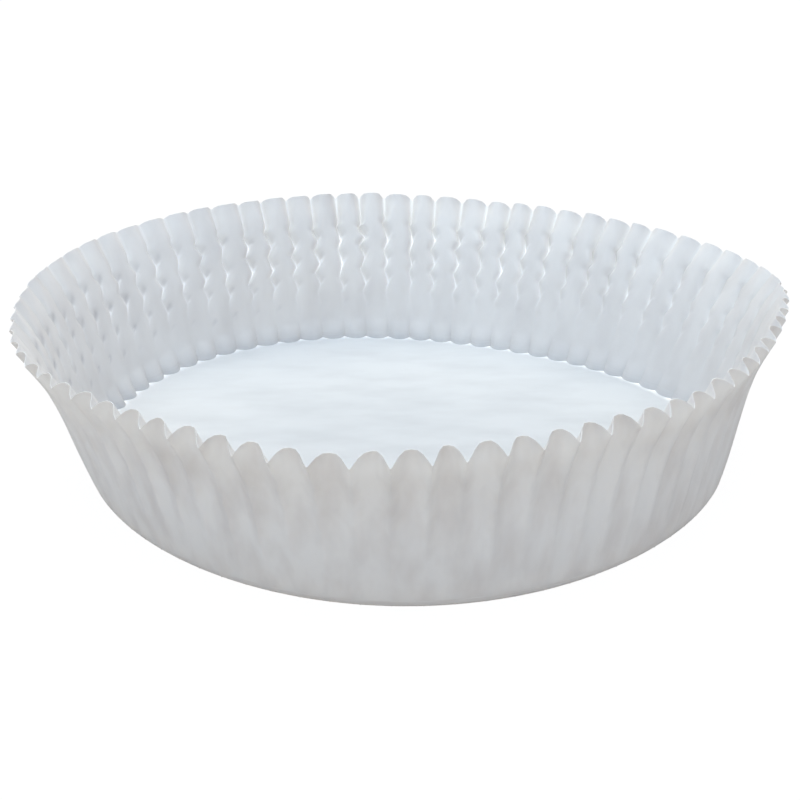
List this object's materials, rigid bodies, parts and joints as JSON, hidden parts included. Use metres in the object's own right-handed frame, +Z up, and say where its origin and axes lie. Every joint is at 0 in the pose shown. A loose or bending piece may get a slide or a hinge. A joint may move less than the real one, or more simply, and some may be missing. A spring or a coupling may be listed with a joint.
{
  "type": "fluted paper baking cup",
  "caption": "Round, shallow baking cup of white paper for tarts, with a flat base and a leaning, finely fluted and crimped wall that ends in a scalloped rim, a little out of round.",
  "frame": {"origin": "middle of the underside of the flat base", "axes": "+Z up, along the cup's axis towards its open rim; X and Y level, X through a crease"},
  "size_m": [0.1457, 0.1425, 0.0319],
  "materials": {
    "paper": "matte white greaseproof baking paper"
  },
  "bodies": {
    "root": {"baking_cup": "paper"}
  },
  "joints": []
}
